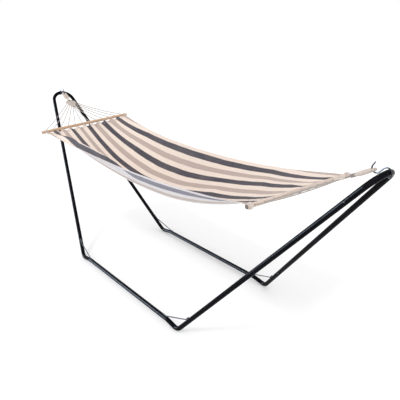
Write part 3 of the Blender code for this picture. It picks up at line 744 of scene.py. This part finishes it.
# Each arm of the eye, from the neck to the hook: the share of the eye's length and half the gap between
# the arms' middle lines.
EYE_ARM = ((1.0, 0.0040), (0.88, 0.0050), (0.66, 0.0080), (0.32, 0.0092))
# The bound rope's radius, at shares of the way from the hook to the neck.
EYE_PROFILE = (
    (0.0, 0.0064),
    (0.13, 0.0084),
    (0.35, 0.0098),
    (0.62, 0.0098),
    (0.78, 0.0078),
    (0.87, 0.0056),
    (1.0, 0.005),
)
# The foot's seizing takes the darker thread: painted shade for its neck in shadow.
SEIZING = {"head": "thread", "foot": "painted_shade_thread"}
SEIZING_TURNS = 14
SEIZING_LEAD = 0.013
SEIZING_LENGTH = 0.030
NECK_HALF_WIDTH = 0.0088
NECK_HALF_HEIGHT = 0.0066
TWINE_R = 0.0013
STEPS_A_TURN = 12


def make_eye(end):
    """The bound eye: two thick whipped arms round the hook, fat towards the neck, and a twine seizing."""
    seat, pull = eye_ring(end)
    over = pull.cross(ACROSS)
    arm = []
    for share, width in EYE_ARM:
        arm.append(seat + pull * CLEW_START * share + ACROSS * width)
    ring = []
    for step in range(9):
        angle = math.radians(90 + 180 * step / 8)
        ring.append(seat + (pull * math.cos(angle) + ACROSS * math.sin(angle)) * EYE_LOOP_R)
    other_arm = [Vector((point.x, -point.y, point.z)) for point in arm[::-1]]
    path = smooth_path(arm + ring + other_arm, 3)

    def girth(share):
        place = path[round(share * (len(path) - 1))]
        along_eye = max(0.0, (place - seat).dot(pull)) / CLEW_START
        shares, radii = zip(*EYE_PROFILE)
        return float(np.interp(along_eye, shares, radii))

    bm = bmesh.new()
    sweep(bm, [turned(point, end) for point in path], girth, 14)
    eye = rope_object("whipped_eye_" + end, bm, "whipped")
    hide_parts("rope_eye_" + end)
    bm = bmesh.new()
    helix = []
    steps = SEIZING_TURNS * STEPS_A_TURN
    for step in range(steps + 1):
        angle = math.tau * step / STEPS_A_TURN
        centre = seat + pull * (CLEW_START - SEIZING_LEAD + SEIZING_LENGTH * step / steps)
        sideways = ACROSS * math.cos(angle) * NECK_HALF_WIDTH
        helix.append(turned(centre + sideways + over * math.sin(angle) * NECK_HALF_HEIGHT, end))
    sweep(bm, helix, TWINE_R, 6)
    rope_object("neck_seizing_" + end, bm, SEIZING[end])


# The knot behind each hole of the bar, and the loop of thinner cord from it through the cloth's hem.
KNOT_R = 0.0036
KNOT_CORD_R = 0.0020
KNOT_DEPTH = 0.0028
KNOT_STEPS = 18
KNOT_OFF_BAR = 0.0045
LOOP_CORD_R = 0.0017
LOOP_HALF = 0.0032
LOOP_INSET = 0.008
LOOP_DROP = 0.009


def make_hem_cords(end):
    """At each hole a knot behind the bar, a double turn of cord, and a short loop through the hem."""
    frame_here = bar_frame(end)
    loops = bmesh.new()
    for y in hole_positions():
        exit_point = frame_here @ (Vector((0.0, y, 0.0)) - HOLE_AXIS * (BAR_R + KNOT_OFF_BAR))
        points = []
        for step in range(KNOT_STEPS + 1):
            angle = 2 * math.tau * step / KNOT_STEPS
            around = Vector((0.0, math.cos(angle), math.sin(angle))) * KNOT_R
            points.append(exit_point + around - Vector((KNOT_DEPTH * step / KNOT_STEPS, 0.0, 0.0)))
        sweep(loops, [turned(point, end) for point in points], KNOT_CORD_R, 6)
        hem = Vector((BED_REACH[end] - LOOP_INSET, y, BAR_Z[end] + y * BAR_SLOPE[end] - LOOP_DROP))
        side = ACROSS * LOOP_HALF
        ring = [
            exit_point + side,
            exit_point.lerp(hem, 0.5) + side * 1.3 + UP * 0.003,
            hem + side * 0.8 + UP * 0.0035,
            hem - UP * 0.0035 - Vector((0.002, 0, 0)),
            hem - side * 0.8 - UP * 0.0042,
            exit_point.lerp(hem, 0.5) - side * 1.3 - UP * 0.003,
            exit_point - side,
        ]
        sweep(loops, [turned(point, end) for point in smooth_path(ring, 4)], LOOP_CORD_R, 6)
    rope_object("hem_cords_" + end, loops, "rope")


CORNER_TURNS = {"head": 1.25, "foot": 2.75}
CORNER_CORD_R = {"head": 0.0016, "foot": 0.0026}
CORNER_CORD_Y = 0.322
CORNER_OFF_BAR = 0.0026
CORNER_PITCH = 0.0045
# Where on the cloth the cords start: its place along the bed, and its share of the width at each side.
CORNER_ALONG = 0.965
CORNER_EDGE = {-1: 0.004, 1: 0.996}


def make_corner_cords(end):
    """The cloth's edges run into a twisted cord at each corner, wound round the bar's end."""
    cords = bmesh.new()
    frame_here = bar_frame(end)
    for sign, edge in CORNER_EDGE.items():
        start = bed_surface(ENDS[end] * CORNER_ALONG, edge, gathers=False)
        start = Vector((abs(start.x), start.y, start.z))
        centre = frame_here @ Vector((0.0, sign * CORNER_CORD_Y, 0.0))
        points = [start, start.lerp(centre, 0.5) - UP * 0.003]
        turns = CORNER_TURNS[end]
        steps = round(turns * 10)
        for step in range(steps + 1):
            angle = math.pi + math.tau * turns * step / steps
            round_bar = Vector((math.cos(angle), 0.0, -math.sin(angle))) * (BAR_R + CORNER_OFF_BAR)
            outwards = CORNER_PITCH * (turns * step / steps - 1)
            points.append(centre + round_bar + ACROSS * sign * outwards)
        path = smooth_path(points, 2)
        sweep(cords, [turned(point, end) for point in path], CORNER_CORD_R[end], 8)
    rope_object("corner_cords_" + end, cords, "rope")


# ---- finishes of the carried-over pieces ----
CAD_FINISH = {
    "base_rail": "black",
    "corner_tube": "black",
    "leg_tube": "black",
    "hanger_tube": "black",
    "corner_brace": "rod",
    "snap_button": "spring",
    "spring_clip": "spring",
    "s_hook": "hook",
    # The foot bar takes the copy of the wood with painted light on its sides and painted shade on its ends.
    "spreader_bar_head": "wood_head",
    "spreader_bar_foot": "wood_foot_painted_light_and_shade",
}


def finish_cad_nodes():
    """Gives each piece that is carried over its finish. The soft pieces, which are replaced, get none."""
    for name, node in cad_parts.items():
        for start, finish in CAD_FINISH.items():
            if name.startswith(start):
                for index in range(len(node.data.materials)):
                    node.data.materials[index] = FINISH[finish]
                node.data.shade_smooth()


# ---- studio ----
def far_light(name, towards, strength, spread, colour, on_gloss_only=False):
    """A lamp so far off that it lights the whole floor evenly, with shadows as soft as a broad panel's. One
    that is on gloss only draws the streaks along the tubes and gives the rest no diffuse light."""
    data = bpy.data.lights.new(name, "SUN")
    data.energy = strength
    data.angle = math.radians(spread)
    data.color = colour
    lamp = bpy.data.objects.new(name, data)
    bpy.context.scene.collection.objects.link(lamp)
    lamp.rotation_euler = Vector(towards).to_track_quat("Z", "Y").to_euler()
    lamp.visible_diffuse = not on_gloss_only


FLOOR_DROP = 0.0005
FLOOR_GLOW = 0.27


def make_studio():
    """A white floor that glows a little, a white world and three far lamps."""
    mesh = bpy.data.meshes.new("studio_floor")
    bm = bmesh.new()
    bmesh.ops.create_grid(bm, x_segments=1, y_segments=1, size=30.0)
    bm.to_mesh(mesh)
    bm.free()
    floor = bpy.data.objects.new("studio_floor", mesh)
    floor.location = (0.0, 0.0, -FLOOR_DROP)
    bpy.context.scene.collection.objects.link(floor)
    tree = Tree("studio_white", (0.74, 0.74, 0.74), 1.0, Specular_IOR_Level=0.0, Emission_Strength=FLOOR_GLOW)
    tree.shader.inputs["Emission Color"].default_value = (1.0, 1.0, 1.0, 1.0)
    mesh.materials.append(tree.material)
    world = bpy.data.worlds.new("studio")
    bpy.context.scene.world = world
    world.use_nodes = True
    backdrop = world.node_tree.nodes["Background"]
    backdrop.inputs[0].default_value = (1.0, 1.0, 1.0, 1.0)
    backdrop.inputs[1].default_value = 1.0
    far_light("key", (0.25, -1.0, 1.5), 0.75, 11.0, (0.96, 0.97, 1.0))
    far_light("cool_fill", (0.5, -1.0, 0.15), 0.42, 40.0, (0.70, 0.83, 1.0))
    far_light("streak_left", (-0.75, -0.66, 0.22), 6.5, 26.0, (0.66, 0.78, 1.0), on_gloss_only=True)
    bpy.context.scene.view_settings.view_transform = "Standard"


# The camera stands beyond the foot end's left corner. Its angles are in radians.
CAMERA_PLACE = (2.1568, -1.5172, 1.5136)
CAMERA_YAW = 2.4499
CAMERA_PITCH = -0.3703
CAMERA_ROLL = -0.0113
CAMERA_LENS = 41.43


def make_camera():
    """A camera that looks down along the bed from the foot end, rolled by about two thirds of a degree."""
    data = bpy.data.cameras.new("photo_camera")
    data.sensor_width = 36.0
    data.lens = CAMERA_LENS
    data.clip_start = 0.05
    camera = bpy.data.objects.new("photo_camera", data)
    bpy.context.scene.collection.objects.link(camera)
    level = math.cos(CAMERA_PITCH)
    forward = Vector((level * math.cos(CAMERA_YAW), level * math.sin(CAMERA_YAW), math.sin(CAMERA_PITCH)))
    right = forward.cross(UP).normalized()
    up = right.cross(forward)
    rolled_right = right * math.cos(CAMERA_ROLL) + up * math.sin(CAMERA_ROLL)
    rolled_up = up * math.cos(CAMERA_ROLL) - right * math.sin(CAMERA_ROLL)
    basis = Matrix((rolled_right, rolled_up, -forward)).transposed().to_4x4()
    camera.matrix_world = Matrix.Translation(CAMERA_PLACE) @ basis
    bpy.context.scene.camera = camera


make_camera()
make_studio()
finish_cad_nodes()
bed = make_bed()
for end in ENDS:
    make_eye(end)
    make_ropes(end)
    make_hem_cords(end)
    make_corner_cords(end)
